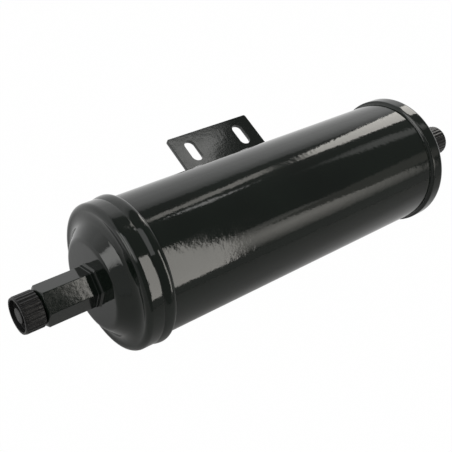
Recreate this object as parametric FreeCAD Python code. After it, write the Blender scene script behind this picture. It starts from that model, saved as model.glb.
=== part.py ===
# Receiver drier for a vehicle's cooling circuit: a black steel canister with a port at each end
# and a welded angle bracket. Millimetres, +Z up.
# The origin lies on the bracket's mounting face, midway between its two slots.
# +X runs along the canister towards the outlet and +Y away from it, across the bracket.

import FreeCAD, Part
import math
import os

# Canister
tube_diameter = 88.9
tube_wall = 2.0
bare_tube_length = 235.4
cap_wall = 2.0
cap_clearance = 0.15
cap_corner_radius = 3.5
cap_valley_lean = 10.0
cap_valley_radius = 9.0
cap_dome_radius = 5.0
cap_dome_rise = 8.8
cap_disc_radius = 26.0
cap_edge_radius = 0.5
cap_skirt_length = 11.2
cap_tube_overlap = 7.0
inlet_bead_width = 8.6
inlet_bead_crown = 1.0
inlet_bead_crown_share = 0.6
outlet_braze_leg = 1.3

# Ports, measured outwards from the flat disc of the cap
spigot_radius = 8.0
spigot_reach = 3.0
spigot_clearance = 0.1
port_bore_radius = 5.0
collar_across_flats = 23.0
collar_height = 3.0
hexagon_across_flats = 22.225
inlet_hexagon_length = 31.1
outlet_hexagon_length = 24.7
hexagon_chamfer = 1.6
port_turn = 22.0
neck_radius = 8.6
neck_length = 1.6
thread_radius = 9.525
thread_length = 7.3
thread_chamfer = 0.9
port_braze_leg = 1.2

# Seal in the face of each port
seal_ring_radius = 7.05
seal_cord_diameter = 1.6
seal_groove_width = 1.9
seal_proud = 0.3

# Dust caps
dust_cap_radius = 11.05
dust_cap_wall = 1.35
dust_cap_gap = 1.0
dust_cap_floor = 1.1
dust_cap_recess = 3.0
dust_cap_post_radius = 4.75
dust_cap_post_drop = 0.7
dust_cap_plain_rim = 1.1
dust_cap_rib_count = 28
dust_cap_rib_height = 0.35
dust_cap_rib_share = 0.5

# Angle bracket
bracket_thickness = 3.0
bracket_length = 77.7
bracket_bend_radius = 3.0
bracket_corner_radius = 1.6
bracket_leg_above_axis = 3.0
bracket_past_middle = 34.9
axis_to_slots = 88.1
slots_to_edge = 16.1
slot_width = 9.0
slot_length = 19.4
slot_spacing = 47.4
bracket_weld_radius = 3.0
lower_weld_drop = 9.0

# Drying pack inside the canister
pack_clearance = 0.25
plate_thickness = 1.2
plate_hole_radius = 2.4
plate_hole_pitch = 8.4
plate_plain_rim = 3.0
pad_thickness = 9.0
support_ring_wall = 1.5
support_ring_length = 16.0
support_ring_end_gap = 0.1
spring_wire = 2.6
spring_mean_radius = 16.5
spring_turns = 5
spring_joins_per_turn = 4
spring_space = 33.0
spring_end_gap = 0.1
strainer_wall = 0.8
strainer_length = 15.0
strainer_slot_count = 8
strainer_slot_width = 2.0
strainer_solid_end = 2.5

# Places that follow from these
tube_radius = tube_diameter / 2
tube_bore = tube_radius - tube_wall
cap_radius = tube_radius + cap_clearance + cap_wall
axis_y = -axis_to_slots
axis_z = cap_radius + inlet_bead_crown
middle_x = -bracket_past_middle
inlet_edge_x = middle_x - bare_tube_length / 2
outlet_edge_x = middle_x + bare_tube_length / 2
pack_radius = tube_bore - pack_clearance

X = FreeCAD.Vector(1, 0, 0)
Z = FreeCAD.Vector(0, 0, 1)


def vector(x, y, z):
    return FreeCAD.Vector(x, y, z)


def arc(centre, radius, start, end):
    """A piece of circle in the plane of x and radius, angles in degrees from +x."""
    at = [start, (start + end) / 2, end]
    points = [
        vector(
            centre[0] + radius * math.cos(math.radians(angle)),
            centre[1] + radius * math.sin(math.radians(angle)),
            0,
        )
        for angle in at
    ]
    return Part.Arc(*points).toShape()


def line(start, end):
    return Part.makeLine(vector(start[0], start[1], 0), vector(end[0], end[1], 0))


def end_of(edge):
    point = edge.valueAt(edge.LastParameter)
    return (point.x, point.y)


def start_of(edge):
    point = edge.valueAt(edge.FirstParameter)
    return (point.x, point.y)


def turned(edges):
    """A solid of revolution about the X axis, from edges in the plane of x and radius."""
    face = Part.Face(Part.Wire(Part.__sortEdges__(edges)))
    return face.revolve(vector(0, 0, 0), X, 360)


def turned_outline(points):
    edges = [line(points[i], points[(i + 1) % len(points)]) for i in range(len(points))]
    return turned(edges)


def rod(radius, start, end):
    return Part.makeCylinder(radius, end - start, vector(start, 0, 0), X)


def pipe(outer, inner, start, end):
    return rod(outer, start, end).cut(rod(inner, start, end))


def hexagon(across_flats, x):
    """A hexagonal wire across the X axis, with a corner towards +Y."""
    corner = across_flats / 2 / math.cos(math.pi / 6)
    points = [
        vector(x, corner * math.cos(k * math.pi / 3), corner * math.sin(k * math.pi / 3))
        for k in range(7)
    ]
    return Part.makePolygon(points)


def hexagonal_bar(across_flats, start, end):
    return Part.Face(hexagon(across_flats, start)).extrude(vector(end - start, 0, 0))


def to_outlet(shape, x=outlet_edge_x):
    """Sets a piece made along +X on the canister's axis at the outlet end."""
    placed = shape.copy()
    placed.translate(vector(x, axis_y, axis_z))
    return placed


def to_inlet(shape, x=inlet_edge_x):
    """Turns a piece end for end and sets it on the axis at the inlet end."""
    placed = shape.copy()
    placed.rotate(vector(0, 0, 0), Z, 180)
    placed.translate(vector(x, axis_y, axis_z))
    return placed


def dome_slope():
    """The steepest slope of a cap's dome, in radians, that gives the dome its rise."""
    lean = math.radians(cap_valley_lean)
    start = cap_radius - cap_corner_radius * (1 + math.sin(lean))
    width = start - cap_disc_radius - cap_valley_radius * math.sin(lean)
    low, high = 0.1, 1.5
    for _ in range(60):
        slope = (low + high) / 2
        bends = cap_valley_radius + cap_dome_radius
        straight = width - bends * math.sin(slope)
        rise = bends * (1 - math.cos(slope)) + straight * math.tan(slope)
        low, high = (slope, high) if rise < cap_dome_rise else (low, slope)
    return slope


def cap_skin(inwards):
    """The cap's curved end, from its corner to its disc, for the skin that lies so far inside."""
    lean = math.radians(cap_valley_lean)
    slope = dome_slope()
    steepest = math.degrees(slope)
    corner_centre = (cap_skirt_length - cap_corner_radius, cap_radius - cap_corner_radius)
    reach = cap_corner_radius + cap_valley_radius
    valley_centre = (
        corner_centre[0] + reach * math.cos(lean),
        corner_centre[1] - reach * math.sin(lean),
    )
    floor = valley_centre[0] - cap_valley_radius
    dome_centre = (floor + cap_dome_rise - cap_dome_radius, cap_disc_radius)
    corner = arc(corner_centre, cap_corner_radius - inwards, 90, -cap_valley_lean)
    valley_skin = cap_valley_radius + inwards
    valley = arc(valley_centre, valley_skin, 180 - cap_valley_lean, 180 + steepest)
    dome = arc(dome_centre, cap_dome_radius - inwards, steepest, 0)
    return corner, valley, line(end_of(valley), start_of(dome)), dome


def end_cap():
    """A deep-pressed cap, its open edge at x = 0 and its dome towards +X."""
    outer = cap_skin(0)
    inner = cap_skin(cap_wall)
    hole = spigot_radius + spigot_clearance
    outer_disc = end_of(outer[-1])
    inner_disc = end_of(inner[-1])
    bore = cap_radius - cap_wall
    edge_centre = (cap_edge_radius, cap_radius - cap_edge_radius)
    rounding = arc(edge_centre, cap_edge_radius, 180, 90)
    edges = [
        rounding,
        line(end_of(rounding), start_of(outer[0])),
        *outer,
        line(outer_disc, (outer_disc[0], hole)),
        line((outer_disc[0], hole), (inner_disc[0], hole)),
        line((inner_disc[0], hole), inner_disc),
        *inner,
        line(start_of(inner[0]), (0, bore)),
        line((0, bore), start_of(rounding)),
    ]
    return turned(edges)


def disc_plane():
    """How far the flat disc of a cap lies from its open edge."""
    return end_of(cap_skin(0)[-1])[0]


def valley_floor():
    """How far the lowest ring of a cap's inside lies from its open edge."""
    return cap_skin(cap_wall)[1].BoundBox.XMin


def through(start, middle, end):
    return Part.Arc(*[vector(x, radius, 0) for x, radius in (start, middle, end)]).toShape()


def outlet_fillet():
    """The hollow fillet of filler metal between the bare tube and the open edge of a cap."""
    foot = (-outlet_braze_leg, tube_radius)
    top = (0, cap_radius - cap_edge_radius)
    root = (0, tube_radius)
    middle = (
        (foot[0] + top[0] + root[0]) / 3,
        (foot[1] + top[1] + root[1]) / 3 + outlet_braze_leg / 12,
    )
    return turned([through(foot, middle, top), line(top, root), line(root, foot)])


def inlet_bead():
    """The broad bead laid over the joint at the inlet, steeper towards the tube."""
    crown = (-inlet_bead_width * inlet_bead_crown_share, cap_radius + inlet_bead_crown)
    edges = []
    ends = []
    for foot in ((0, cap_radius - cap_edge_radius), (-inlet_bead_width, tube_radius)):
        run = foot[0] - crown[0]
        drop = crown[1] - foot[1]
        radius = (run**2 + drop**2) / (2 * drop)
        half = math.asin(abs(run) / radius) / 2
        side = math.copysign(1, run)
        middle = (
            crown[0] + side * radius * math.sin(half),
            crown[1] - radius * (1 - math.cos(half)),
        )
        edges.append(through(foot, middle, crown))
        ends.append(foot)
    root = (0, tube_radius)
    return turned([*edges, line(ends[0], root), line(root, ends[1])])


def port(hexagon_length):
    """The turned port with its collar, hexagon, thread and seal groove, the cap's disc at x = 0."""
    hexagon_end = collar_height + hexagon_length
    neck_end = hexagon_end + neck_length
    face = neck_end + thread_length
    corner = hexagon_across_flats / 2 / math.cos(math.pi / 6)
    chamfer_run = (corner - hexagon_across_flats / 2 + hexagon_chamfer / 2) * math.tan(math.pi / 6)
    body = turned_outline([
        (0, 0),
        (0, corner + 1),
        (hexagon_end - chamfer_run, corner + 1),
        (hexagon_end - chamfer_run, corner),
        (hexagon_end, hexagon_across_flats / 2 - hexagon_chamfer / 2),
        (hexagon_end, 0),
    ])
    bar = hexagonal_bar(hexagon_across_flats, 0, hexagon_end).common(body)
    collar = hexagonal_bar(collar_across_flats, 0, collar_height)
    thread = turned_outline([
        (hexagon_end - 1, 0),
        (hexagon_end - 1, neck_radius),
        (neck_end, neck_radius),
        (neck_end, thread_radius),
        (face - thread_chamfer, thread_radius),
        (face, thread_radius - thread_chamfer),
        (face, 0),
    ])
    spigot = rod(spigot_radius, -cap_wall - spigot_reach, 1)
    solid = bar.fuse([collar, thread, spigot])
    bore = rod(port_bore_radius, -cap_wall - spigot_reach - 1, face + 1)
    groove_depth = seal_cord_diameter - seal_proud
    groove = pipe(
        seal_ring_radius + seal_groove_width / 2,
        seal_ring_radius - seal_groove_width / 2,
        face - groove_depth,
        face + 1,
    )
    return solid.cut(bore).cut(groove).removeSplitter()


def port_face(hexagon_length):
    return collar_height + hexagon_length + neck_length + thread_length


def port_braze():
    """The fillet of filler metal round the foot of the collar."""
    skirt = Part.makeLoft(
        [
            hexagon(collar_across_flats + 2 * port_braze_leg, 0),
            hexagon(collar_across_flats + port_braze_leg / 3, port_braze_leg),
        ],
        True,
    )
    return skirt.cut(hexagonal_bar(collar_across_flats, -1, port_braze_leg + 1))


def seal(hexagon_length):
    at = port_face(hexagon_length) + seal_proud - seal_cord_diameter / 2
    return Part.makeTorus(seal_ring_radius, seal_cord_diameter / 2, vector(at, 0, 0), X)


def ribbed_bar(start, end):
    """A round bar whose side carries rounded ribs all round."""
    pitch = 2 * math.pi / dust_cap_rib_count
    rib = pitch * dust_cap_rib_share

    def at(radius, angle):
        return vector(start, radius * math.cos(angle), radius * math.sin(angle))

    edges = []
    for k in range(dust_cap_rib_count):
        first = k * pitch
        crest = dust_cap_radius + dust_cap_rib_height
        edges.append(
            Part.Arc(
                at(dust_cap_radius, first),
                at(crest, first + rib / 2),
                at(dust_cap_radius, first + rib),
            ).toShape()
        )
        edges.append(
            Part.Arc(
                at(dust_cap_radius, first + rib),
                at(dust_cap_radius, first + (rib + pitch) / 2),
                at(dust_cap_radius, first + pitch),
            ).toShape()
        )
    return Part.Face(Part.Wire(edges)).extrude(vector(end - start, 0, 0))


def dust_cap(hexagon_length):
    """A ribbed screw cap, its closed end sunk in a ring-shaped recess round a plain post."""
    open_edge = collar_height + hexagon_length + dust_cap_gap
    floor = port_face(hexagon_length) + seal_proud
    recess = floor + dust_cap_floor
    end = recess + dust_cap_recess
    inside = dust_cap_radius - dust_cap_wall
    ribs = ribbed_bar(open_edge, end - dust_cap_plain_rim)
    plain = rod(dust_cap_radius, open_edge, end)
    hollow = rod(inside, open_edge - 1, floor)
    ring = pipe(inside, dust_cap_post_radius, recess, end + 1)
    drop = rod(dust_cap_post_radius, end - dust_cap_post_drop, end + 1)
    return plain.fuse(ribs).cut(hollow).cut(ring).cut(drop).removeSplitter()


def turned_to_port(shape):
    """Turns a port's piece about the axis, the way its corners face."""
    placed = shape.copy()
    placed.rotate(vector(0, axis_y, axis_z), X, port_turn)
    return placed


def shell_tube():
    start = inlet_edge_x - cap_tube_overlap
    end = outlet_edge_x + cap_tube_overlap
    tube = pipe(tube_radius, tube_bore, start, end)
    tube.translate(vector(0, axis_y, axis_z))
    return tube


def bracket():
    """The folded angle: one leg stands against the tube, the other carries the two slots."""
    back = axis_y + tube_radius
    outer = bracket_bend_radius + bracket_thickness
    top = axis_z + bracket_leg_above_axis
    edge = slots_to_edge
    half = bracket_length / 2
    centre_y = back + outer
    centre_z = outer

    def at(y, z):
        return vector(-half, y, z)

    def bend(radius):
        diagonal = radius / math.sqrt(2)
        return Part.Arc(
            at(centre_y - radius, centre_z),
            at(centre_y - diagonal, centre_z - diagonal),
            at(centre_y, centre_z - radius),
        ).toShape()

    edges = [
        Part.makeLine(at(back, top), at(back, centre_z)),
        bend(outer),
        Part.makeLine(at(centre_y, 0), at(edge, 0)),
        Part.makeLine(at(edge, 0), at(edge, bracket_thickness)),
        Part.makeLine(at(edge, bracket_thickness), at(centre_y, bracket_thickness)),
        bend(bracket_bend_radius),
        Part.makeLine(at(back + bracket_thickness, centre_z), at(back + bracket_thickness, top)),
        Part.makeLine(at(back + bracket_thickness, top), at(back, top)),
    ]
    angle = Part.Face(Part.Wire(Part.__sortEdges__(edges))).extrude(vector(bracket_length, 0, 0))
    corners = [
        e
        for e in angle.Edges
        if abs(e.BoundBox.ZLength - bracket_thickness) < 1e-6
        and e.BoundBox.XLength < 1e-6
        and e.BoundBox.YMin > edge - 1e-6
    ]
    angle = angle.makeFillet(bracket_corner_radius, corners)
    for side in (-1, 1):
        angle = angle.cut(slot(side * slot_spacing / 2))
    return angle


def slot(x):
    """A round-ended slot that runs across the bracket, centred on y = 0."""
    radius = slot_width / 2
    reach = slot_length / 2 - radius
    height = bracket_thickness + 2
    middle = Part.makeBox(slot_width, 2 * reach, height, vector(x - radius, -reach, -1))
    ends = [Part.makeCylinder(radius, height, vector(x, y, -1), Z) for y in (-reach, reach)]
    return middle.fuse(ends).removeSplitter()


def bracket_weld(z, towards_tube):
    """A bead along the bracket's standing leg, in the groove that it makes with the tube."""
    half = bracket_length / 2
    y = axis_y + tube_radius - towards_tube
    bead = Part.makeCylinder(bracket_weld_radius, bracket_length, vector(-half, y, z), X)
    solid_tube = Part.makeCylinder(tube_radius, bracket_length, vector(-half, axis_y, axis_z), X)
    return bead.cut(solid_tube).cut(bracket())


def perforated_plate():
    """A thin disc with round holes in rows set off by half a pitch, its face at x = 0."""
    reach = pack_radius - plate_plain_rim - plate_hole_radius
    rows = int(reach / plate_hole_pitch) + 1
    row_height = plate_hole_pitch * math.sqrt(3) / 2
    holes = []
    for row in range(-rows, rows + 1):
        shift = plate_hole_pitch / 2 if row % 2 else 0
        for column in range(-rows, rows + 1):
            y = column * plate_hole_pitch + shift
            z = row * row_height
            if math.hypot(y, z) <= reach:
                holes.append(
                    Part.makeCylinder(plate_hole_radius, plate_thickness + 2, vector(-1, y, z), X)
                )
    return rod(pack_radius, 0, plate_thickness).cut(Part.makeCompound(holes))


def arc_towards(start, corner, end):
    """The arc from start to end whose two tangents meet at the corner."""
    half = (end - start).Length / 2
    quarter = math.acos(half / (corner - start).Length) / 2
    middle = (start + end) / 2
    towards = (corner - middle).normalize()
    return Part.Arc(start, middle + towards * (half * math.tan(quarter)), end).toShape()


def spring(length):
    """A compression spring along +X from x = 0, its helix made of arcs that run on smoothly."""
    rise = length - spring_wire
    pieces = spring_turns * spring_joins_per_turn
    turn = 2 * math.pi * spring_turns

    def point(k):
        angle = turn * k / pieces
        place = vector(
            spring_wire / 2 + rise * k / pieces,
            spring_mean_radius * math.cos(angle),
            spring_mean_radius * math.sin(angle),
        )
        way = vector(
            rise,
            -turn * spring_mean_radius * math.sin(angle),
            turn * spring_mean_radius * math.cos(angle),
        )
        return place, way.normalize()

    arcs = []
    for k in range(pieces):
        start, way = point(k)
        end, last_way = point(k + 1)
        span = end - start
        spread = 2 * (1 - way.dot(last_way))
        along = span.dot(way + last_way)
        reach = (math.sqrt(along**2 + spread * span.dot(span)) - along) / spread
        first_corner = start + way * reach
        second_corner = end - last_way * reach
        join = (first_corner + second_corner) / 2
        arcs.append(arc_towards(start, first_corner, join))
        arcs.append(arc_towards(join, second_corner, end))
    place, way = point(0)
    section = Part.Wire(Part.makeCircle(spring_wire / 2, place, way))
    return Part.Wire(arcs).makePipeShell([section], True, True)


def strainer():
    """A slotted cup that fits over a spigot inside the canister and closes towards -X."""
    inside = spigot_radius
    outside = inside + strainer_wall
    mouth = -cap_wall
    bottom = mouth - strainer_length
    cup = rod(outside, bottom, mouth).cut(rod(inside, bottom + strainer_wall, mouth + 1))
    slot_start = bottom + strainer_solid_end
    slot_end = mouth - spigot_reach - strainer_solid_end
    for k in range(strainer_slot_count // 2):
        cutter = Part.makeBox(
            slot_end - slot_start,
            strainer_slot_width,
            4 * outside,
            vector(slot_start, -strainer_slot_width / 2, -2 * outside),
        )
        cutter.rotate(vector(0, 0, 0), X, k * 360 / strainer_slot_count)
        cup = cup.cut(cutter)
    return cup


def along_axis(shape, x):
    placed = shape.copy()
    placed.translate(vector(x, axis_y, axis_z))
    return placed


# The drying pack is stacked from the outlet: support ring, plate, pad, bed, pad, plate, spring.
support_end_x = outlet_edge_x + valley_floor() - support_ring_end_gap
outlet_plate_x = support_end_x - support_ring_length - plate_thickness
outlet_pad_x = outlet_plate_x - pad_thickness
inlet_disc_x = inlet_edge_x - disc_plane()
outlet_disc_x = outlet_edge_x + disc_plane()
spring_start_x = inlet_disc_x + cap_wall + spring_end_gap
inlet_plate_x = spring_start_x + spring_space
inlet_pad_x = inlet_plate_x + plate_thickness
bed_start_x = inlet_pad_x + pad_thickness

nodes = {
    "shell_tube": shell_tube(),
    "inlet_end_cap": to_inlet(end_cap()),
    "outlet_end_cap": to_outlet(end_cap()),
    "inlet_cap_braze": to_inlet(inlet_bead()),
    "outlet_cap_braze": to_outlet(outlet_fillet()),
    "inlet_port": turned_to_port(to_inlet(port(inlet_hexagon_length), inlet_disc_x)),
    "outlet_port": turned_to_port(to_outlet(port(outlet_hexagon_length), outlet_disc_x)),
    "inlet_port_braze": turned_to_port(to_inlet(port_braze(), inlet_disc_x)),
    "outlet_port_braze": turned_to_port(to_outlet(port_braze(), outlet_disc_x)),
    "inlet_seal": to_inlet(seal(inlet_hexagon_length), inlet_disc_x),
    "outlet_seal": to_outlet(seal(outlet_hexagon_length), outlet_disc_x),
    "inlet_dust_cap": to_inlet(dust_cap(inlet_hexagon_length), inlet_disc_x),
    "outlet_dust_cap": to_outlet(dust_cap(outlet_hexagon_length), outlet_disc_x),
    "mounting_bracket": bracket(),
    "upper_bracket_weld": bracket_weld(axis_z + bracket_leg_above_axis, 0),
    "lower_bracket_weld": bracket_weld(axis_z - lower_weld_drop, 0),
    "inlet_perforated_plate": along_axis(perforated_plate(), inlet_plate_x),
    "outlet_perforated_plate": along_axis(perforated_plate(), outlet_plate_x),
    "inlet_filter_pad": along_axis(rod(pack_radius, 0, pad_thickness), inlet_pad_x),
    "outlet_filter_pad": along_axis(rod(pack_radius, 0, pad_thickness), outlet_pad_x),
    "desiccant_bed": along_axis(rod(pack_radius, bed_start_x, outlet_pad_x), 0),
    "compression_spring": along_axis(spring(spring_space), spring_start_x),
    "outlet_support_ring": along_axis(
        pipe(pack_radius, pack_radius - support_ring_wall, 0, support_ring_length),
        support_end_x - support_ring_length,
    ),
    "outlet_strainer": to_outlet(strainer(), outlet_disc_x),
}

os.makedirs("parts", exist_ok=True)
for name, shape in nodes.items():
    shape.exportStep(f"parts/{name}.step")
    box = shape.BoundBox
    print(
        f"{name:24s} solids {len(shape.Solids)} valid {shape.isValid()} volume {shape.Volume:10.1f}"
        f"  x {box.XMin:7.1f} {box.XMax:7.1f}  y {box.YMin:7.1f} {box.YMax:7.1f}"
        f"  z {box.ZMin:6.1f} {box.ZMax:6.1f}"
    )
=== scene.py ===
"""Receiver drier: a gloss black canister with a port at each end and a slotted angle bracket."""

import math

import bmesh
import bpy
from bpy.props import FloatProperty, FloatVectorProperty, IntProperty, PointerProperty
from mathutils import Matrix, Vector


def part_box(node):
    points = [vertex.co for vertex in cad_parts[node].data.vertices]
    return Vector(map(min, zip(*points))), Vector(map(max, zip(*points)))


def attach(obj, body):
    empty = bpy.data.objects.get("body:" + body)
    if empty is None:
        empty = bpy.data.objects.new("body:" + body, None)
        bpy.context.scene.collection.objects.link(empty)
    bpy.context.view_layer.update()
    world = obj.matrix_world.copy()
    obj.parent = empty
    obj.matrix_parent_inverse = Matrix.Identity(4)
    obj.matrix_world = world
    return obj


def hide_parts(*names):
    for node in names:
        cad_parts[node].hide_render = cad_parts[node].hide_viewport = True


bl_info = {
    "name": "Receiver Drier",
    "version": (1, 0, 0),
    "blender": (4, 5, 0),
    "location": "3D Viewport > Sidebar > Drier",
    "description": "Builds a receiver drier, its ports, dust caps and bracket round its CAD frame",
    "category": "Add Mesh",
}

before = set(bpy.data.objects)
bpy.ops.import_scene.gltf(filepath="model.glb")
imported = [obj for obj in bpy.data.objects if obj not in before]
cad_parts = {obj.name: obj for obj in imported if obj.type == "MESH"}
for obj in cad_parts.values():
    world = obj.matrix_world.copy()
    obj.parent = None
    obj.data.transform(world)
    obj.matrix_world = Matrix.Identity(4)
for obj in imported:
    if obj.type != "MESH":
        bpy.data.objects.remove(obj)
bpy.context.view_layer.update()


def middle(node):
    low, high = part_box(node)
    return Vector([(a + b) / 2 for a, b in zip(low, high)])


def reach(node, axis):
    low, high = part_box(node)
    return high[axis] - low[axis]


AXIS = middle("shell_tube")
INLET_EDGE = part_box("inlet_end_cap")[1][0]
OUTLET_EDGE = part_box("outlet_end_cap")[0][0]
INLET_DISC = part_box("inlet_end_cap")[0][0]
OUTLET_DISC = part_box("outlet_end_cap")[1][0]
CAP_RADIUS = round(reach("inlet_end_cap", 1) / 2, 5)
TUBE_RADIUS = round(reach("shell_tube", 2) / 2, 5)

# How far the hidden foot of a bead or fillet goes into the tube, in metres.
SUNK = 0.0001
# Half the angle that one side of a hexagon spans, and the angle of the hexagons' chamfers.
HALF_SIDE = math.pi / 6
CHAMFER_ANGLE = math.pi / 6

# The unevenness round a bead or fillet: (waves round the canister, phase) of each part.
BEAD_WAVES = ((3, 0.4), (7, 2.1), (19, 4.4), (41, 1.0))
FILLET_WAVES = ((5, 1.3), (13, 3.0), (31, 5.2))

# Relief of the paint, coarse to fine: noise scale, detail and roughness, strength, depth in metres.
PEEL_LAYERS = (
    (30, 1, 0.5, 0.25, 0.0004),
    (320, 2, 0.5, 0.32, 0.00014),
    (900, 2, 0.6, 0.35, 0.00003),
)
# The painted pieces: roughness as a share of the setting, and how strong the orange peel is.
PAINTED = {"canister": (1.0, 1.0), "port": (1.2, 0.6), "bracket": (1.1, 0.4)}

WARM = (1.0, 0.97, 0.91)
PLAIN = (1.0, 1.0, 0.98)
# The shining sheets: corners as (azimuth from +X, height) in degrees, radiance, colour, and the
# share of the way from the rim to the middle over which a sheet fades in.
PANELS = {
    "back_softbox": (
        [(43, 29.5), (38.2, 36), (30.5, 31), (22, 21), (36, 8), (40.5, 15.5)], 5.2, WARM, 0.0,
    ),
    "back_strip": ([(52, 44), (48, 48), (40.8, 38), (45.3, 31.4)], 2.4, WARM, 0.0),
    "back_glow": (
        [(36.3, 44.5), (36.1, 47.6), (38, 50), (42.5, 49.5), (43, 47.5)], 3.0, PLAIN, 0.0,
    ),
    "front_softbox": (
        [(-24, 60), (-40, 50), (-55, 22.5), (-57.7, 11.3), (-69, 11.3), (-59, 45), (-33, 67)],
        4.5, WARM, 0.0,
    ),
    "front_fill": (
        [(-37, 27), (-38, 40), (-52, 42), (-61, 27), (-55, 12), (-40, 12)], 2.6, WARM, 1.0,
    ),
    "front_card": ([(-25, 0), (-25, 10.5), (-75, 10.5), (-75, 0)], 0.3, PLAIN, 0.0),
    "front_edge": ([(-25, 24), (-25, 34), (-50, 36), (-50, 24)], 0.45, WARM, 0.5),
    "top_fill": ([(4, 37), (22, 41), (22, 47), (4, 43)], 0.9, PLAIN, 0.6),
    "left_card": ([(146, 4), (150, 22), (176, 28), (178, 8)], 3.4, PLAIN, 0.6),
    "left_strip": ([(140, 36), (140, 46), (190, 48), (190, 38)], 4.0, PLAIN, 0.0),
}
# The sheets' distance in metres: those that fade hang behind the others and show through.
PANEL_DISTANCE = 12.0
FADING_DISTANCE = 13.0
LIT_POINT = Vector((AXIS.x, AXIS.y, AXIS.z + 0.03))

# The photograph's view, found by fitting the canister's two rims and the bracket: the camera's
# directions, and its place from the middle of the canister.
CAMERA_RIGHT = Vector((0.7775, -0.5468, 0.3107))
CAMERA_FORWARD = Vector((0.5369, 0.3200, -0.7806))
CAMERA_PLACE = Vector((-0.31027, -0.1625, 0.3991))
CAMERA_SHIFT = (-0.0002, 0.0012)


def length_setting(name, description, default):
    return FloatProperty(name=name, description=description, default=default, unit="LENGTH")


def angle_setting(name, description, degrees):
    return FloatProperty(
        name=name, description=description, default=math.radians(degrees), subtype="ANGLE"
    )


def colour_setting(name, description, default):
    return FloatVectorProperty(
        name=name, description=description, default=default, subtype="COLOR", min=0, max=1
    )


class CanisterSettings(bpy.types.PropertyGroup):
    wall: length_setting("Wall", "Thickness of the tube and caps", 0.002)
    corner: length_setting("Corner", "Radius of a cap's corner", 0.0035)
    skirt: length_setting("Skirt", "From a cap's open edge to its front", 0.0112)
    valley: length_setting("Valley", "Radius of the hollow round a cap's dome", 0.009)
    dome: length_setting("Dome", "Radius of the bend at a dome's disc", 0.005)
    rise: length_setting("Rise", "Height of a dome over its hollow", 0.0088)
    disc: length_setting("Disc", "Radius of the flat disc in a cap's dome", 0.026)
    lean: angle_setting("Lean", "Slope from a cap's corner to its hollow", 10)
    hole: length_setting("Hole", "Radius of the hole for a port's spigot", 0.0081)
    edge: length_setting("Edge", "Rounding of a cap's open edge", 0.0005)
    bead: length_setting("Bead", "Width of the weld bead at the inlet", 0.0086)
    crown: length_setting("Crown", "Height of the bead over the cap", 0.001)
    crown_at: FloatProperty(
        name="Crown's place", description="Share of the bead's width to its crown", default=0.6
    )
    braze: length_setting("Braze", "Leg of the fillet at the outlet cap", 0.0013)
    steps: IntProperty(
        name="Steps", description="Steps round the canister", default=288, min=48
    )


class PortSettings(bpy.types.PropertyGroup):
    flats: length_setting("Flats", "Hexagon's width across flats", 0.022225)
    collar_flats: length_setting("Collar flats", "Collar's width across flats", 0.023)
    collar: length_setting("Collar", "Thickness of the collar", 0.003)
    chamfer: length_setting("Chamfer", "Size of the chamfer on the hexagon's end", 0.0016)
    rounding: length_setting("Rounding", "Radius of the painted edges", 0.0004)
    turn: angle_setting("Turn", "How far the hexagons are turned about the canister's axis", 22)
    spigot: length_setting("Spigot", "Radius of the spigot in the cap", 0.008)
    bore: length_setting("Bore", "Radius of the bore", 0.005)
    neck: length_setting("Neck", "Radius of the neck before the thread", 0.0086)
    neck_length: length_setting("Neck length", "Length of the neck", 0.0016)
    thread: length_setting("Thread", "Outer radius of the thread", 0.009525)
    thread_length: length_setting("Thread length", "Length of the thread", 0.0073)
    thread_depth: length_setting("Thread depth", "Depth of the thread", 0.0009)
    pitch: length_setting("Pitch", "Pitch of the thread", 0.0015875)
    groove_outer: length_setting("Groove, outer", "Outer radius of the seal groove", 0.008)
    groove_inner: length_setting("Groove, inner", "Inner radius of the seal groove", 0.0061)
    groove_depth: length_setting("Groove depth", "Depth of the seal groove", 0.0013)
    braze: length_setting("Braze", "Leg of the fillet round the collar", 0.0012)
    steps: IntProperty(name="Steps", description="Steps round a port", default=288, min=48)


class DustCapSettings(bpy.types.PropertyGroup):
    radius: length_setting("Radius", "Radius between the ribs", 0.01105)
    ribs: IntProperty(name="Ribs", description="Ribs round the cap", default=28, min=6)
    rib: length_setting("Rib", "Height of a rib", 0.00035)
    wall: length_setting("Wall", "Thickness of the wall", 0.00135)
    web: length_setting("Web", "Thickness of the closed end", 0.0011)
    rim: length_setting("Rim", "Length of the plain rim past the ribs", 0.0011)
    recess: length_setting("Recess", "Depth of the recess in the closed end", 0.003)
    post: length_setting("Post", "Radius of the post in the recess", 0.00475)
    post_back: length_setting("Post's setback", "How far the post stays below the rim", 0.0007)
    rounding: length_setting("Rounding", "Radius of the moulded edges", 0.0003)


class BracketSettings(bpy.types.PropertyGroup):
    thickness: length_setting("Thickness", "Thickness of the sheet", 0.003)
    bend: length_setting("Bend", "Inner radius of the fold", 0.003)
    corner: length_setting("Corner", "Radius of the outer corners", 0.0016)
    slot_width: length_setting("Slot width", "Width of a slot", 0.009)
    slot_length: length_setting("Slot length", "Length of a slot", 0.0194)
    spacing: length_setting("Spacing", "Between the slots' middles", 0.0474)
    rounding: length_setting("Rounding", "Radius of the painted edges", 0.0002)
    weld: length_setting("Weld", "Length of a weld bead's rounded end", 0.003)
    ripple: length_setting("Ripple", "Between the ripples of a weld bead", 0.0021)


class FinishSettings(bpy.types.PropertyGroup):
    paint: colour_setting("Paint", "Colour of the paint", (0.0066, 0.0102, 0.0076))
    plastic: colour_setting("Plastic", "Colour of the dust caps", (0.012, 0.012, 0.012))
    gloss: FloatProperty(
        name="Roughness", description="Roughness of the paint", default=0.07, min=0, max=1
    )


class StageSettings(bpy.types.PropertyGroup):
    floor: colour_setting("Floor", "Colour of the floor", (0.55, 0.55, 0.55))
    lens: FloatProperty(
        name="Lens", description="Focal length on a 36 mm sensor, in millimetres", default=62.2
    )


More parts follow.
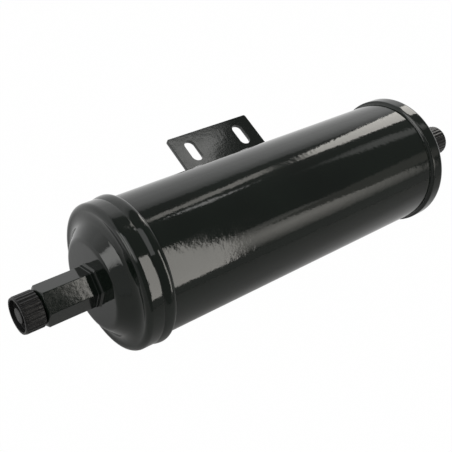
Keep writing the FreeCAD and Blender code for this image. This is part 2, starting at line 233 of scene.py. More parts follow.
def arc(centre, radius, start, end, steps):
    """Points of an arc in the plane of x and radius, angles in radians."""
    return [
        (
            centre[0] + radius * math.cos(start + (end - start) * k / steps),
            centre[1] + radius * math.sin(start + (end - start) * k / steps),
        )
        for k in range(steps + 1)
    ]


def run(start, end, steps):
    """Points from start to end, the last left out."""
    return [
        (
            start[0] + (end[0] - start[0]) * k / steps,
            start[1] + (end[1] - start[1]) * k / steps,
        )
        for k in range(steps)
    ]


def join_rings(mesh, pairs):
    """Fills the band between the two rings of each pair with four-sided faces."""
    for first, second in pairs:
        count = len(first)
        for k in range(count):
            j = (k + 1) % count
            mesh.faces.new((first[k], first[j], second[j], second[k]))


def lathe(name, profile, steps, radius_at=None):
    """A mesh turned about the X axis from a closed outline of (x, radius) points.

    radius_at may shape each ring: it gets the point's index, x, radius and the angle."""
    mesh = bmesh.new()
    rings = []
    for index, (x, radius) in enumerate(profile):
        ring = []
        for k in range(steps):
            angle = 2 * math.pi * k / steps
            r = radius_at(index, x, radius, angle) if radius_at else radius
            ring.append(mesh.verts.new((x, r * math.cos(angle), r * math.sin(angle))))
        rings.append(ring)
    join_rings(mesh, zip(rings, rings[1:] + rings[:1]))
    bmesh.ops.recalc_face_normals(mesh, faces=mesh.faces)
    return finish_mesh(name, mesh)


def finish_mesh(name, mesh, sharp=math.radians(38)):
    """A smooth object of a mesh, its edges sharp where the faces turn by more than an angle."""
    for face in mesh.faces:
        face.smooth = True
    for edge in mesh.edges:
        if len(edge.link_faces) == 2 and edge.calc_face_angle() > sharp:
            edge.smooth = False
    data = bpy.data.meshes.new(name)
    mesh.to_mesh(data)
    mesh.free()
    piece = bpy.data.objects.new(name, data)
    bpy.context.scene.collection.objects.link(piece)
    return piece


def set_on_axis(piece, x, towards_inlet, turn=0.0):
    """Moves a mesh made along +X to the canister's axis, turned end for end at the inlet."""
    move = Matrix.Translation((x, AXIS.y, AXIS.z)) @ Matrix.Rotation(turn, 4, "X")
    if towards_inlet:
        move = move @ Matrix.Rotation(math.pi, 4, "Z")
    piece.data.transform(move)
    piece.data.update()


def place(piece, slot, material, *nodes):
    """Gives a piece its material and body, and hides the solids that it stands for. The slot is not
    used.
    """
    piece.data.materials.append(material)
    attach(piece, "root")
    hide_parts(*nodes)


def uneven(waves, level, swing, drift=0.0):
    """A radius_at for lathe that scales what stands above the tube by level and a wave."""

    def radius_at(index, x, radius, angle):
        if radius <= TUBE_RADIUS:
            return radius
        wave = sum(math.sin(n * angle + phase + drift * x) / n for n, phase in waves)
        return TUBE_RADIUS + (radius - TUBE_RADIUS) * (level + swing * wave)

    return radius_at


def hexagon_radius(flats, angle, rounding):
    """Distance from the axis to a hexagon with rounded corners, a corner lying at angle zero."""
    sector = (angle + HALF_SIDE) % (2 * HALF_SIDE) - HALF_SIDE
    half = flats / 2
    corner = half / math.cos(HALF_SIDE)
    centre = corner - rounding / math.cos(HALF_SIDE)
    tangent = math.atan2(
        rounding * math.sin(HALF_SIDE), centre + rounding * math.cos(HALF_SIDE)
    )
    if abs(sector) >= tangent:
        return half / math.cos(HALF_SIDE - abs(sector))
    side = centre * math.sin(sector)
    return centre * math.cos(sector) + math.sqrt(max(rounding**2 - side**2, 0.0))


def new_material(name):
    material = bpy.data.materials.new(name)
    material.use_nodes = True
    tree = material.node_tree
    return material, tree, tree.nodes["Principled BSDF"]


def object_noise(tree, scale, detail=2.0, roughness=0.5, stretch=(1, 1, 1)):
    where = tree.nodes.new("ShaderNodeTexCoord")
    mapping = tree.nodes.new("ShaderNodeMapping")
    mapping.inputs["Scale"].default_value = stretch
    noise = tree.nodes.new("ShaderNodeTexNoise")
    noise.inputs["Scale"].default_value = scale
    noise.inputs["Detail"].default_value = detail
    noise.inputs["Roughness"].default_value = roughness
    tree.links.new(where.outputs["Object"], mapping.inputs["Vector"])
    tree.links.new(mapping.outputs["Vector"], noise.inputs["Vector"])
    return noise


def ramp(tree, source, stops):
    """A colour ramp over a socket, its stops (position, grey or colour)."""
    node = tree.nodes.new("ShaderNodeValToRGB")
    elements = node.color_ramp.elements
    while len(elements) < len(stops):
        elements.new(0.5)
    for element, (position, value) in zip(elements, stops):
        grey = isinstance(value, (int, float))
        element.position = position
        element.color = (value, value, value, 1) if grey else (*value, 1)
    tree.links.new(source, node.inputs["Fac"])
    return node


def bump(tree, shader, source, strength, distance, before=None):
    """A bump node on the shader's normal, on top of the one before."""
    node = tree.nodes.new("ShaderNodeBump")
    node.inputs["Strength"].default_value = strength
    node.inputs["Distance"].default_value = distance
    tree.links.new(source, node.inputs["Height"])
    if before:
        tree.links.new(before.outputs["Normal"], node.inputs["Normal"])
    tree.links.new(node.outputs["Normal"], shader.inputs["Normal"])
    return node


def tint(colour, factor):
    return tuple(channel * factor for channel in colour)


def gloss_paint(name, colour, roughness, peel):
    """Gloss black paint with orange peel, slightly darker and lighter, duller and shinier areas."""
    material, tree, shader = new_material(name)
    shader.inputs["IOR"].default_value = 1.5
    areas = object_noise(tree, 22, 3)
    tones = [(0.35, tint(colour, 0.85)), (0.7, tint(colour, 1.2))]
    shade = ramp(tree, areas.outputs["Fac"], tones)
    tree.links.new(shade.outputs["Color"], shader.inputs["Base Color"])
    dull = object_noise(tree, 60, 4, 0.6)
    rough = ramp(tree, dull.outputs["Fac"], [(0.4, roughness * 0.85), (0.75, roughness * 1.5)])
    tree.links.new(rough.outputs["Color"], shader.inputs["Roughness"])
    relief = None
    for scale, detail, noise_roughness, strength, depth in PEEL_LAYERS:
        noise = object_noise(tree, scale, detail, noise_roughness)
        relief = bump(tree, shader, noise.outputs["Fac"], strength * peel, depth, relief)
    return material


def ribbed_plastic(name, colour):
    """The dust caps' dark, slightly lumpy plastic."""
    material, tree, shader = new_material(name)
    shader.inputs["IOR"].default_value = 1.49
    shader.inputs["Specular IOR Level"].default_value = 0.3
    shade = object_noise(tree, 300, 3)
    tone = ramp(tree, shade.outputs["Fac"], [(0.35, tint(colour, 0.8)), (0.7, tint(colour, 1.4))])
    tree.links.new(tone.outputs["Color"], shader.inputs["Base Color"])
    rough = ramp(tree, shade.outputs["Fac"], [(0.3, 0.26), (0.7, 0.38)])
    tree.links.new(rough.outputs["Color"], shader.inputs["Roughness"])
    lumps = object_noise(tree, 700, 2, 0.6)
    bump(tree, shader, lumps.outputs["Fac"], 0.25, 0.00012)
    return material


def plain_finish(name, colour, metallic, rough_low, rough_high, scale, depth, stretch=(1, 1, 1)):
    """A finish for the pieces inside: colour, roughness and relief all follow one noise."""
    material, tree, shader = new_material(name)
    shader.inputs["Metallic"].default_value = metallic
    grain = object_noise(tree, scale, 4, 0.6, stretch)
    tone = ramp(tree, grain.outputs["Fac"], [(0.3, tint(colour, 0.75)), (0.7, colour)])
    tree.links.new(tone.outputs["Color"], shader.inputs["Base Color"])
    rough = ramp(tree, grain.outputs["Fac"], [(0.3, rough_high), (0.7, rough_low)])
    tree.links.new(rough.outputs["Color"], shader.inputs["Roughness"])
    bump(tree, shader, grain.outputs["Fac"], 0.5, depth)
    return material


def bead_finish_with_painted_shade(name, colour):
    """Packed beads: pale round cells with painted shade, darker towards each cell's rim and in the
    gaps between cells.
    """
    material, tree, shader = new_material(name)
    where = tree.nodes.new("ShaderNodeTexCoord")
    cells = tree.nodes.new("ShaderNodeTexVoronoi")
    cells.inputs["Scale"].default_value = 450
    tree.links.new(where.outputs["Object"], cells.inputs["Vector"])
    # Painted shade: the colour darkens from each cell's middle to its rim and into the gaps,
    # standing in for shade on round beads.
    tone = ramp(tree, cells.outputs["Distance"], [(0.0, colour), (0.75, tint(colour, 0.25))])
    tree.links.new(tone.outputs["Color"], shader.inputs["Base Color"])
    shader.inputs["Roughness"].default_value = 0.8
    bump(tree, shader, cells.outputs["Distance"], 0.8, -0.001)
    return material


class CanisterTube(bpy.types.Operator):
    """Makes the bare tube of the canister"""

    bl_idname = "drier.canister_tube"
    bl_label = "Canister tube"

    def execute(self, context):
        s = context.scene.drier_canister
        low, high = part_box("shell_tube")
        inner = TUBE_RADIUS - s.wall
        outline = (
            run((low[0], TUBE_RADIUS), (high[0], TUBE_RADIUS), 60)
            + run((high[0], TUBE_RADIUS), (high[0], inner), 1)
            + run((high[0], inner), (low[0], inner), 6)
            + run((low[0], inner), (low[0], TUBE_RADIUS), 1)
        )
        piece = lathe("canister_tube", outline, s.steps)
        set_on_axis(piece, 0, False)
        place(piece, "canister_paint", finishes()["canister"], "shell_tube")
        return {"FINISHED"}


def dome_slope(s):
    """The steepest slope of a cap's dome that gives the dome its rise, found by halving."""
    start = CAP_RADIUS - s.corner * (1 + math.sin(s.lean))
    width = start - s.disc - s.valley * math.sin(s.lean)
    bends = s.valley + s.dome
    low, high = 0.1, 1.5
    for _ in range(60):
        slope = (low + high) / 2
        straight = width - bends * math.sin(slope)
        rise = bends * (1 - math.cos(slope)) + straight * math.tan(slope)
        low, high = (slope, high) if rise < s.rise else (low, slope)
    return slope


def cap_skin(s, inwards, steps):
    """The curved end of a cap, from its corner to its disc, as (x, radius) points."""
    slope = dome_slope(s)
    corner = (s.skirt - s.corner, CAP_RADIUS - s.corner)
    apart = s.corner + s.valley
    valley = (corner[0] + apart * math.cos(s.lean), corner[1] - apart * math.sin(s.lean))
    dome = (valley[0] - s.valley + s.rise - s.dome, s.disc)
    corner_points = arc(corner, s.corner - inwards, math.pi / 2, -s.lean, steps)
    valley_points = arc(valley, s.valley + inwards, math.pi - s.lean, math.pi + slope, 2 * steps)
    dome_points = arc(dome, s.dome - inwards, slope, 0, 2 * steps)
    flank = run(valley_points[-1], dome_points[0], 6)[1:]
    return corner_points + valley_points[1:] + flank + dome_points


class EndCaps(bpy.types.Operator):
    """Makes the two pressed end caps, the inlet's weld bead and the outlet's fillet"""

    bl_idname = "drier.end_caps"
    bl_label = "End caps"

    def execute(self, context):
        s = context.scene.drier_canister
        outer = cap_skin(s, 0.0, 14)
        inner = cap_skin(s, s.wall, 8)
        open_edge = arc((s.edge, CAP_RADIUS - s.edge), s.edge, math.pi, math.pi / 2, 5)
        outline = (
            open_edge
            + run(open_edge[-1], outer[0], 5)[1:]
            + outer
            + run(outer[-1], (outer[-1][0], s.hole), 6)[1:]
            + [(outer[-1][0], s.hole)]
            + [(inner[-1][0], s.hole)]
            + inner[::-1]
            + [(0, CAP_RADIUS - s.wall)]
        )
        for end, edge in (("inlet", INLET_EDGE), ("outlet", OUTLET_EDGE)):
            piece = lathe(f"{end}_cap", outline, s.steps)
            set_on_axis(piece, edge, end == "inlet")
            place(piece, "canister_paint", finishes()["canister"], f"{end}_end_cap")
        self.bead(s)
        self.fillet(s)
        return {"FINISHED"}

    def bead(self, s):
        """The broad weld bead over the inlet's joint, steeper towards the tube, a little uneven."""
        crown = (-s.bead * s.crown_at, CAP_RADIUS + s.crown)
        outline = [(0.0, TUBE_RADIUS - SUNK)]
        for foot in ((0.0, CAP_RADIUS - s.edge), (-s.bead, TUBE_RADIUS)):
            across = foot[0] - crown[0]
            drop = crown[1] - foot[1]
            radius = (across**2 + drop**2) / (2 * drop)
            turn = math.asin(min(1.0, abs(across) / radius))
            centre = (crown[0], crown[1] - radius)
            end = math.pi / 2 - math.copysign(turn, across)
            points = arc(centre, radius, end, math.pi / 2, 18)
            outline += points if across > 0 else points[::-1][1:]
        outline.append((-s.bead, TUBE_RADIUS - SUNK))
        radius_at = uneven(BEAD_WAVES, level=0.985, swing=0.02, drift=900)
        piece = lathe("inlet_weld_bead", outline, s.steps, radius_at)
        set_on_axis(piece, INLET_EDGE, True)
        place(piece, "canister_paint", finishes()["canister"], "inlet_cap_braze")

    def fillet(self, s):
        """A hollow, slightly uneven fillet of filler metal at the outlet cap's open edge."""
        top = CAP_RADIUS - s.edge
        rows = 8
        hollow = 1.8
        outline = [(0.0, TUBE_RADIUS - SUNK), (0.0, top)]
        for k in range(1, rows + 1):
            t = k / rows
            height = (top - TUBE_RADIUS) * (1 - t) ** hollow
            outline.append((-s.braze * t, TUBE_RADIUS + height))
        outline.append((-s.braze, TUBE_RADIUS - SUNK))
        radius_at = uneven(FILLET_WAVES, level=0.96, swing=0.1)
        piece = lathe("outlet_fillet", outline, s.steps, radius_at)
        set_on_axis(piece, OUTLET_EDGE, False)
        place(piece, "canister_paint", finishes()["canister"], "outlet_cap_braze")


class Ports(bpy.types.Operator):
    """Makes the ports with their collars, hexagons and threads, and the fillets at their feet"""

    bl_idname = "drier.ports"
    bl_label = "Ports"

    def execute(self, context):
        s = context.scene.drier_port
        for end, disc in (("inlet", INLET_DISC), ("outlet", OUTLET_DISC)):
            low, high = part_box(f"{end}_port")
            face = abs((low[0] if end == "inlet" else high[0]) - disc)
            back = abs((high[0] if end == "inlet" else low[0]) - disc)
            self.port(s, end, disc, face, back)
            self.fillet(s, end, disc)
        return {"FINISHED"}

    def port(self, s, end, disc, face, back):
        """A turned port along +X, the cap's disc at x = 0, its back and face so far from it."""
        r = s.rounding
        hexagon_end = face - s.thread_length - s.neck_length
        thread_start = hexagon_end + s.neck_length
        corner = s.flats / 2 / math.cos(HALF_SIDE)
        cone_height = corner - s.flats / 2 + s.chamfer / 2
        cone_start = hexagon_end - cone_height * math.tan(CHAMFER_ANGLE)
        thread_rings = int(s.thread_length / s.pitch * 12)
        face_bevel = 0.0012
        lead = 0.0009
        lead_drop = 0.0006
        step = 0.0001
        outline = []
        kinds = []

        def add(kind, points):
            """Adds points whose second number is a radius, or an offset from the hexagon."""
            outline.extend(points)
            kinds.extend([kind] * len(points))

        collar_edge = [
            (s.collar - r + r * math.sin(a), r * (math.cos(a) - 1)) for a in self.quarter(6)
        ]
        add("round", [(-back, s.bore), (-back, s.spigot), (0.0, s.spigot)])
        add("collar", [(0.0, 0.0), (s.collar - r, 0.0)] + collar_edge)
        add("hexagon", [(s.collar, 0.0), (s.collar + step, 0.0)])
        add("hexagon", run((s.collar + step, 0.0), (cone_start, 0.0), 6)[1:])
        add("hexagon", run((cone_start, 0.0), (hexagon_end, 0.0), 24))
        add("hexagon", [(hexagon_end, -0.00002)])
        add("round", [(hexagon_end, s.neck), (thread_start, s.neck)])
        threaded = s.thread_length / thread_rings
        add("thread", [(thread_start + threaded * k, s.thread) for k in range(thread_rings + 1)])
        bottom = face - s.groove_depth
        add("round", [(face, s.thread - face_bevel), (face, s.groove_outer)])
        add("round", [(bottom, s.groove_outer), (bottom, s.groove_inner)])
        add("round", [(face, s.groove_inner), (face, s.bore)])

        def shaped(index, x, radius, angle):
            kind = kinds[index]
            if kind == "round":
                return radius
            if kind == "collar":
                return hexagon_radius(s.collar_flats, angle, 2 * r) + radius
            if kind == "hexagon":
                flat = hexagon_radius(s.flats, angle, r) + radius
                cone = corner - max(0.0, x - cone_start) / math.tan(CHAMFER_ANGLE)
                return min(flat, cone)
            turn = ((x - thread_start) / s.pitch - angle / (2 * math.pi)) % 1.0
            start = min(1.0, (face - x) / lead)
            return s.thread - s.thread_depth * abs(2 * turn - 1) - lead_drop * (1 - start)

        piece = lathe(f"{end}_port_body", outline, s.steps, shaped)
        set_on_axis(piece, disc, end == "inlet", s.turn)
        place(piece, "port_paint", finishes()["port"], f"{end}_port")

    def quarter(self, count):
        """Angles over a quarter turn."""
        return [math.pi / 2 * k / count for k in range(count + 1)]

    def fillet(self, s, end, disc):
        """A hollow, slightly uneven fillet of filler metal round the foot of a collar."""
        rows = 8
        hollow = 1.9
        height = 0.95 * s.braze
        width = 0.98 * s.braze
        phase = 0.5 if end == "inlet" else 2.0
        under_collar = 0.0002

        def shaped(index, x, radius, angle):
            base = hexagon_radius(s.collar_flats, angle, 2 * s.rounding)
            if index > rows:
                return base - under_collar
            wave = 1 + 0.1 * math.sin(7 * angle + phase)
            return base + height * (1 - index / rows) ** hollow * wave

        outline = [(width * k / rows, 0.0) for k in range(rows + 1)] + [(width, 0.0), (0.0, 0.0)]
        piece = lathe(f"{end}_port_fillet", outline, s.steps, shaped)
        set_on_axis(piece, disc, end == "inlet", s.turn)
        place(piece, "port_paint", finishes()["port"], f"{end}_port_braze")


class DustCaps(bpy.types.Operator):
    """Makes the ribbed dust caps on the ports"""

    bl_idname = "drier.dust_caps"
    bl_label = "Dust caps"

    def execute(self, context):
        s = context.scene.drier_dust_cap
        for end in ("inlet", "outlet"):
            low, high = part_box(f"{end}_dust_cap")
            outline, ribbed = self.outline(s, high[0] - low[0])
            first, last = ribbed

            def radius_at(index, x, radius, angle):
                if not first <= index <= last:
                    return radius
                return radius + s.rib * (math.sin(s.ribs * angle / 2) ** 2) ** 1.2

            piece = lathe(f"{end}_dust_cap_body", outline, s.ribs * 14, radius_at)
            set_on_axis(piece, high[0] if end == "inlet" else low[0], end == "inlet")
            place(piece, "cap_plastic", finishes()["plastic"], f"{end}_dust_cap")
        return {"FINISHED"}

    def outline(self, s, length):
        """The cap's outline from its open edge at x = 0, and its first and last ribbed point."""
        r = s.rounding
        inside = s.radius - s.wall
        shoulder = length - s.rim
        recess = length - s.recess
        web = recess - s.web
        top = length - s.post_back
        ring_on_post = 0.0025
        core = 0.0001
        half = math.pi / 2
        points = [(0.0, inside), (0.0, s.radius - r)]
        points += arc((r, s.radius - r), r, math.pi, half, 3)[1:]
        first = len(points) - 1
        points += run((r, s.radius), (shoulder, s.radius), 4)[1:] + [(shoulder, s.radius)]
        last = len(points) - 1
        points += [(shoulder + 0.0002, s.radius)]
        points += arc((length - r, s.radius - r), r, half, 0, 4)
        points += arc((length - r, inside + r), r, 0, -half, 4)
        points += [(recess + r, inside)]
        points += arc((recess + r, inside - r), r, half, math.pi, 3)[1:]
        points += [(recess, s.post + r)]
        points += arc((recess + r, s.post + r), r, math.pi, 3 * half, 3)[1:]
        points += [(top - r, s.post)]
        points += arc((top - r, s.post - r), r, half, 0, 4)[1:]
        points += [(top, ring_on_post), (top, core), (web, core), (web, inside)]
        return points, (first, last)


class Bracket(bpy.types.Operator):
    """Makes the folded bracket with its slots, and its two welds"""

    bl_idname = "drier.bracket"
    bl_label = "Bracket"

    def execute(self, context):
        s = context.scene.drier_bracket
        low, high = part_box("mounting_bracket")
        piece = self.sheet(s, low, high)
        place(piece, "bracket_paint", finishes()["bracket"], "mounting_bracket")
        for node in ("upper_bracket_weld", "lower_bracket_weld"):
            self.weld(s, node)
        return {"FINISHED"}

    def outline(self, half, far, near, corner, inset):
        """The sheet's outline, unfolded, inset by so much: the far edge has round corners."""
        points = []
        radius = corner - inset
        for side in (1, -1):
            centre = (side * (half - corner), far - corner)
            start, end = (0, math.pi / 2) if side > 0 else (math.pi / 2, math.pi)
            points += arc(centre, radius, start, end, 6)
        points += [(-half + inset, near + inset), (half - inset, near + inset)]
        return points

    def slot(self, s, side, grow):
        """A slot's outline, made larger by so much."""
        radius = s.slot_width / 2 + grow
        straight = s.slot_length / 2 - s.slot_width / 2
        x = side * s.spacing / 2
        return arc((x, straight), radius, 0, math.pi, 20) + arc(
            (x, -straight), radius, math.pi, 2 * math.pi, 20
        )

    def sheet(self, s, low, high):
        """The sheet, made flat with rounded edges and slots, and then folded."""
        half = (high[0] - low[0]) / 2
        fold_outer = s.bend + s.thickness
        fold_start = low[1] + fold_outer
        fold_length = math.pi / 2 * (s.bend + s.thickness / 2)
        leg = high[2] - low[2] - fold_outer
        near = fold_start - fold_length - leg
        far = high[1]
        steps = 4
        lower = []
        for k in range(steps + 1):
            a = math.pi / 2 * k / steps
            lower.append((s.rounding * (1 - math.sin(a)), s.rounding * (1 - math.cos(a))))
        levels = lower + [(inset, s.thickness - z) for inset, z in reversed(lower)]
        mesh = bmesh.new()
        loops = []
        for maker in (
            lambda inset: self.outline(half, far, near, s.corner, inset),
            lambda inset: self.slot(s, -1, inset),
            lambda inset: self.slot(s, 1, inset),
        ):
            rings = [
                [mesh.verts.new((x, y, z)) for x, y in maker(inset)] for inset, z in levels
            ]
            join_rings(mesh, zip(rings, rings[1:]))
            loops.append(rings)
        for level in (0, -1):
            edges = []
            for rings in loops:
                ring = rings[level]
                edges += [mesh.edges.get(pair) for pair in zip(ring, ring[1:] + ring[:1])]
            bmesh.ops.triangle_fill(mesh, use_beauty=True, use_dissolve=False, edges=edges)
        self.fold(mesh, fold_start, fold_length, fold_outer)
        bmesh.ops.recalc_face_normals(mesh, faces=mesh.faces)
        return finish_mesh("bracket_sheet", mesh, math.radians(30))

    def fold(self, mesh, fold_start, fold_length, fold_outer):
        """Cuts the flat sheet across the fold, marks the rims of its faces and folds it up."""
        folds = 14
        for k in range(folds + 1):
            y = fold_start - fold_length * k / folds
            bmesh.ops.bisect_plane(
                mesh, geom=mesh.verts[:] + mesh.edges[:] + mesh.faces[:],
                plane_co=(0, y, 0), plane_no=(0, 1, 0),
            )
        mesh.normal_update()
        level = 0.9999
        for edge in mesh.edges:
            flat = [abs(face.normal.z) > level for face in edge.link_faces]
            if any(flat) and not all(flat):
                edge.smooth = False
        for vertex in mesh.verts:
            x, y, z = vertex.co
            if y < fold_start:
                along = fold_start - y
                angle = min(along, fold_length) / fold_length * math.pi / 2
                beyond = max(0.0, along - fold_length)
                radius = fold_outer - z
                y = fold_start - radius * (1.0 if beyond else math.sin(angle))
                z = fold_outer - radius * math.cos(angle) + beyond
            vertex.co = (x, y, z)

    def weld(self, s, node):
        """A rippled bead with rounded ends between the standing leg and the tube."""
        low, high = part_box(node)
        centre = middle(node)
        length = high[0] - low[0]
        deep = (high[1] - low[1]) / 2
        tall = (high[2] - low[2]) / 2
        rows = 260
        steps = 28
        thinnest = 0.02
        mesh = bmesh.new()
        rings = []
        for k in range(rows + 1):
            x = -length / 2 + length * k / rows
            phase = x / s.ripple * math.pi + math.sin(x * 900) * 0.3
            ripple = 0.92 + 0.06 * abs(math.sin(phase))
            end = max(0.0, abs(x) - length / 2 + s.weld) / s.weld
            size = ripple * max(math.sqrt(max(0.0, 1 - end**2)), thinnest)
            ring = []
            for j in range(steps):
                angle = 2 * math.pi * j / steps
                y = deep * size * math.cos(angle)
                z = tall * size * math.sin(angle)
                ring.append(mesh.verts.new((centre.x + x, centre.y + y, centre.z + z)))
            rings.append(ring)
        join_rings(mesh, zip(rings, rings[1:]))
        mesh.faces.new(rings[0])
        mesh.faces.new(rings[-1])
        bmesh.ops.recalc_face_normals(mesh, faces=mesh.faces)
        piece = finish_mesh(node.replace("_weld", "_bead"), mesh, math.radians(60))
        place(piece, "bracket_paint", finishes()["bracket"], node)


class InnerPieces(bpy.types.Operator):
    """Gives the sealed pieces inside their finishes"""

    bl_idname = "drier.inner_pieces"
    bl_label = "Inner pieces"

    def execute(self, context):
        steel = plain_finish(
            "bare_steel", (0.56, 0.56, 0.55), 1.0, 0.25, 0.45, 300, 0.00005, (1, 1, 12)
        )
        felt = plain_finish("filter_felt", (0.78, 0.76, 0.7), 0.0, 0.85, 1.0, 900, 0.0004)
        rubber = plain_finish("seal_rubber", (0.03, 0.03, 0.03), 0.0, 0.45, 0.65, 500, 0.00006)
        beads = bead_finish_with_painted_shade("desiccant_beads", (0.72, 0.66, 0.55))
        finish_of = {
            "inlet_seal": rubber,
            "outlet_seal": rubber,
            "inlet_perforated_plate": steel,
            "outlet_perforated_plate": steel,
            "compression_spring": steel,
            "outlet_support_ring": steel,
            "outlet_strainer": steel,
            "inlet_filter_pad": felt,
            "outlet_filter_pad": felt,
            "desiccant_bed": beads,
        }
        for node, material in finish_of.items():
            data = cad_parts[node].data
            data.materials.clear()
            data.materials.append(material)
        return {"FINISHED"}


def reach_along(tree, source, way):
    """How far a vector socket reaches in one direction."""
    node = tree.nodes.new("ShaderNodeVectorMath")
    node.operation = "DOT_PRODUCT"
    node.inputs[1].default_value = way
    tree.links.new(source, node.inputs[0])
    return node.outputs["Value"]


def combine(tree, operation, first, second):
    """A socket worked out from a socket and a second socket or number."""
    node = tree.nodes.new("ShaderNodeMath")
    node.operation = operation
    tree.links.new(first, node.inputs[0])
    if isinstance(second, float):
        node.inputs[1].default_value = second
    else:
        tree.links.new(second, node.inputs[1])
    return node.outputs[0]


def seen_share(tree, mirrored_share):
    """One for camera rays, mirrored_share for glossy and transmission rays, else nothing."""
    ray = tree.nodes.new("ShaderNodeLightPath")
    glossy, through = ray.outputs["Is Glossy Ray"], ray.outputs["Is Transmission Ray"]
    mirrored = combine(tree, "ADD", glossy, through)
    seen = combine(tree, "MULTIPLY", mirrored, mirrored_share)
    return combine(tree, "ADD", ray.outputs["Is Camera Ray"], seen)


def mixed(tree, share, first, second):
    """A mix of two shader sockets, share being the second's."""
    mix = tree.nodes.new("ShaderNodeMixShader")
    tree.links.new(share, mix.inputs["Fac"])
    tree.links.new(first, mix.inputs[1])
    tree.links.new(second, mix.inputs[2])
    return mix.outputs["Shader"]


def direction(azimuth, height):
    a, h = math.radians(azimuth), math.radians(height)
    return Vector((math.cos(h) * math.cos(a), math.cos(h) * math.sin(a), math.sin(h)))


class Stage(bpy.types.Operator):
    """Makes the floor, the lamps and the camera"""

    bl_idname = "drier.stage"
    bl_label = "Stage"

    def execute(self, context):
        s = context.scene.drier_stage
        self.floor(s)
        self.world()
        for name, (corners, radiance, colour, fade) in PANELS.items():
            self.panel(name, corners, radiance, colour, fade)
        self.lamp()
        self.camera(s)
        context.scene.view_settings.view_transform = "Standard"
        return {"FINISHED"}

    def floor(self, s):
        """A pale floor, nearly white to the camera, that mirrors as white towards the back."""
        half_size = 6
        below = 0.0002
        white_share = 0.995
        mesh = bmesh.new()
        bmesh.ops.create_grid(mesh, x_segments=1, y_segments=1, size=half_size)
        floor = finish_mesh("floor", mesh)
        floor.location = (0, 0, -below)
        material, tree, shader = new_material("floor_paper")
        shader.inputs["Roughness"].default_value = 0.9
        shader.inputs["Base Color"].default_value = (*s.floor, 1)
        shader.inputs["Specular IOR Level"].default_value = 0.0
        where = tree.nodes.new("ShaderNodeTexCoord").outputs["Object"]
        towards_back = combine(tree, "ADD", reach_along(tree, where, (0.3, 0.95, 0)), 0.2)
        shown = ramp(tree, towards_back, [(0.02, 0.04), (0.17, 0.9)])
        share = combine(tree, "MULTIPLY", seen_share(tree, shown.outputs["Color"]), white_share)
        white = tree.nodes.new("ShaderNodeEmission")
        white.inputs["Color"].default_value = (1, 1, 1, 1)
        surface = mixed(tree, share, shader.outputs["BSDF"], white.outputs["Emission"])
        tree.links.new(surface, tree.nodes["Material Output"].inputs["Surface"])
        floor.data.materials.append(material)

    def world(self):
        """A dim room, white to the camera, that mirrors as a pale backdrop low at the back."""
        world = bpy.data.worlds.new("studio")
        bpy.context.scene.world = world
        world.use_nodes = True
        tree = world.node_tree
        room = tree.nodes["Background"]
        room.inputs["Color"].default_value = (0.15, 0.15, 0.15, 1)
        white = tree.nodes.new("ShaderNodeBackground")
        white.inputs["Color"].default_value = (1, 1, 1, 1)
        way = tree.nodes.new("ShaderNodeTexCoord").outputs["Generated"]
        height = ramp(
            tree, reach_along(tree, way, (0.25, -0.32, 0.91)),
            [(0.0, 1.0), (0.1, 1.0), (0.2, 0.7), (0.27, 0.5), (0.3, 0.06), (0.6, 0.04), (1.0, 0.0)],
        )
        towards_back = ramp(
            tree, reach_along(tree, way, (0.35, 0.94, 0)), [(0.0, 0.3), (0.2, 0.6), (0.5, 1.0)]
        )
        shown = combine(
            tree, "MULTIPLY", height.outputs["Color"], towards_back.outputs["Color"]
        )
        share = seen_share(tree, shown)
        surface = mixed(tree, share, room.outputs["Background"], white.outputs["Background"])
        tree.links.new(surface, tree.nodes["World Output"].inputs["Surface"])

    def panel(self, name, corners, radiance, colour, fade):
        """A shining sheet, facing the drier and hidden from the camera."""
        distance = FADING_DISTANCE if fade else PANEL_DISTANCE
        ways = [direction(*corner) for corner in corners]
        centre = sum(ways, Vector()).normalized()
        flat = [distance * way / way.dot(centre) for way in ways]
        size = max((point - centre * distance).length for point in flat)
        turn = centre.to_track_quat("Z", "Y")
        back = turn.inverted()
        mesh = bmesh.new()
        verts = [mesh.verts.new(back @ (point - centre * distance) / size) for point in flat]
        mesh.faces.new(verts)
        sheet = finish_mesh(name, mesh)
        sheet.matrix_world = (
            Matrix.Translation(LIT_POINT + centre * distance)
            @ turn.to_matrix().to_4x4()
            @ Matrix.Scale(size, 4)
        )
        material, tree, _ = new_material(name)
        light = tree.nodes.new("ShaderNodeEmission")
        light.inputs["Strength"].default_value = radiance
        light.inputs["Color"].default_value = (*colour, 1)
        surface = light.outputs["Emission"]
        if fade:
            where = tree.nodes.new("ShaderNodeTexCoord")
            ball = tree.nodes.new("ShaderNodeTexGradient")
            ball.gradient_type = "SPHERICAL"
            tree.links.new(where.outputs["Object"], ball.inputs["Vector"])
            soft = ramp(tree, ball.outputs["Fac"], [(0.0, 0.0), (fade, 1.0)])
            clear = tree.nodes.new("ShaderNodeBsdfTransparent")
            surface = mixed(tree, soft.outputs["Color"], clear.outputs["BSDF"], surface)
        tree.links.new(surface, tree.nodes["Material Output"].inputs["Surface"])
        sheet.data.materials.append(material)
        sheet.visible_camera = False

    def lamp(self):
        """A soft lamp high at the left, seen from the drier as a square 40 degrees wide."""
        distance = 2.0
        side = 2 * distance * math.tan(math.radians(40) / 2)
        radiance = 1.2
        way = direction(170, 60)
        light = bpy.data.lights.new("top_left", "AREA")
        light.shape = "RECTANGLE"
        light.size = side
        light.size_y = side
        light.energy = radiance * math.pi * light.size * light.size_y
        lamp = bpy.data.objects.new("top_left", light)
        turn = way.to_track_quat("Z", "Y").to_matrix().to_4x4()
        lamp.matrix_world = Matrix.Translation(LIT_POINT + way * distance) @ turn
        bpy.context.scene.collection.objects.link(lamp)

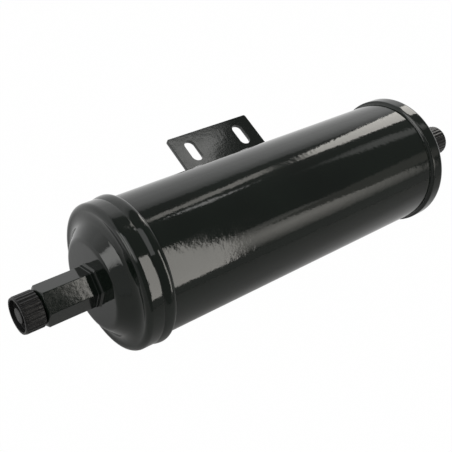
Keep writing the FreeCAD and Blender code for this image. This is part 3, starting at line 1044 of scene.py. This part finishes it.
    def camera(self, s):
        """The photograph's view."""
        forward = CAMERA_FORWARD.normalized()
        up = CAMERA_RIGHT.normalized().cross(forward).normalized()
        right = forward.cross(up)
        spot = AXIS + CAMERA_PLACE
        data = bpy.data.cameras.new("photo_view")
        data.lens = s.lens
        data.sensor_width = 36
        data.clip_start = 0.01
        data.shift_x, data.shift_y = CAMERA_SHIFT
        camera = bpy.data.objects.new("photo_view", data)
        camera.matrix_world = Matrix(
            (
                (right.x, up.x, -forward.x, spot.x),
                (right.y, up.y, -forward.y, spot.y),
                (right.z, up.z, -forward.z, spot.z),
                (0, 0, 0, 1),
            )
        )
        bpy.context.scene.collection.objects.link(camera)
        bpy.context.scene.camera = camera


class DrierPanel(bpy.types.Panel):
    """Lists the drier's settings and the steps that build it"""

    bl_idname = "VIEW3D_PT_drier"
    bl_label = "Receiver drier"
    bl_space_type = "VIEW_3D"
    bl_region_type = "UI"
    bl_category = "Drier"

    def draw(self, context):
        for group in SETTINGS:
            box = self.layout.box()
            settings = getattr(context.scene, group)
            for name in settings.bl_rna.properties.keys():
                if name not in {"rna_type", "name"}:
                    box.prop(settings, name)
        for operator in STEPS:
            self.layout.operator(operator.bl_idname)


SETTINGS = {
    "drier_canister": CanisterSettings,
    "drier_port": PortSettings,
    "drier_dust_cap": DustCapSettings,
    "drier_bracket": BracketSettings,
    "drier_finish": FinishSettings,
    "drier_stage": StageSettings,
}
STEPS = (CanisterTube, EndCaps, Ports, DustCaps, Bracket, InnerPieces, Stage)
MADE = {}


def finishes():
    """The paints and plastics that the seen pieces share, made on first use."""
    if not MADE:
        s = bpy.context.scene.drier_finish
        for piece, (roughness, peel) in PAINTED.items():
            MADE[piece] = gloss_paint(
                f"{piece}_paint", tuple(s.paint), s.gloss * roughness, peel
            )
        MADE["plastic"] = ribbed_plastic("dust_cap_plastic", tuple(s.plastic))
    return MADE


def register():
    for group in SETTINGS.values():
        bpy.utils.register_class(group)
    for name, group in SETTINGS.items():
        setattr(bpy.types.Scene, name, PointerProperty(type=group))
    for step in STEPS:
        bpy.utils.register_class(step)
    bpy.utils.register_class(DrierPanel)


def unregister():
    bpy.utils.unregister_class(DrierPanel)
    for step in reversed(STEPS):
        bpy.utils.unregister_class(step)
    for name, group in SETTINGS.items():
        delattr(bpy.types.Scene, name)
        bpy.utils.unregister_class(group)


def main():
    register()
    for step in STEPS:
        group, name = step.bl_idname.split(".")
        getattr(getattr(bpy.ops, group), name)()


if __name__ == "__main__":
    main()
